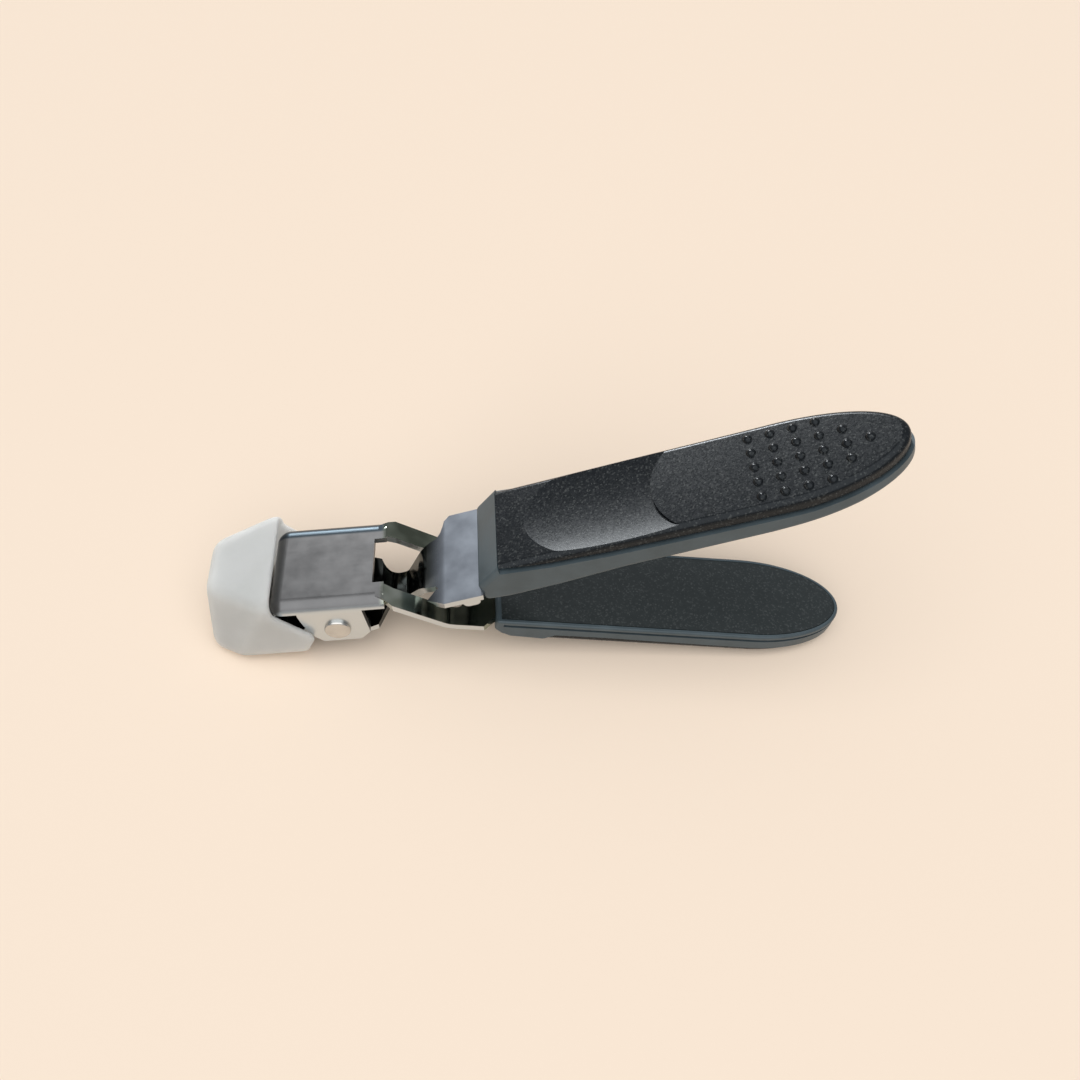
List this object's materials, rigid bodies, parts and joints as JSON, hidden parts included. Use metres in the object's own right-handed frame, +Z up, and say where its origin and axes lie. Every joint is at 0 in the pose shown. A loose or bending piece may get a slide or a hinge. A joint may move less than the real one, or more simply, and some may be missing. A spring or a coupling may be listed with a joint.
{
  "type": "nail clipper",
  "caption": "Plier-type nail clipper: two steel jaws on a riveted pivot, dark moulded grips with thumb dishes and raised dots, and a frosted blade guard.",
  "frame": {"origin": "centre of the bounding box's footprint, on the surface the clipper lies on", "axes": "+X from the blade guard towards the grips, +Y across the tool along the pivot, +Z up"},
  "size_m": [0.0993, 0.0184, 0.0448],
  "materials": {
    "jaw_steel": "polished",
    "rivet_steel": "bright",
    "spring_steel": "drawn wire",
    "washer_brass": "plain",
    "grip_body": "fine grained",
    "grip_cover": "fine metallic flake",
    "grip_liner": "matte",
    "guard_plastic": "frosted translucent"
  },
  "bodies": {
    "frame": {"upper_jaw_frame": "jaw_steel", "lower_grip_body": "grip_body", "lower_grip_pad": "grip_cover", "lower_grip_liner": "grip_liner", "lower_tang_pins": "rivet_steel", "pivot_rivet": "rivet_steel", "rivet_collar": "rivet_steel", "pivot_sleeve": "rivet_steel", "pivot_washers": "washer_brass", "torsion_spring": "spring_steel"},
    "lever": {"lower_jaw_lever": "jaw_steel", "upper_grip_body": "grip_body", "upper_grip_pad": "grip_cover", "upper_grip_liner": "grip_liner", "upper_tang_pins": "rivet_steel"},
    "guard": {"blade_guard": "guard_plastic"}
  },
  "joints": [
    {"name": "squeeze", "type": "hinge", "parent": "frame", "child": "lever", "pos_m": [-0.0305, 0, 0.00752], "axis": [0, 1, 0], "range_deg": [0, 8.5], "stiffness_Nm_per_rad": 0.06, "springref_deg": -28.65, "deforming": ["torsion_spring"]},
    {"name": "guard_slide", "type": "slide", "parent": "frame", "child": "guard", "axis": [-0.9888, 0, -0.1493], "range_m": [0, 0.016]}
  ]
}
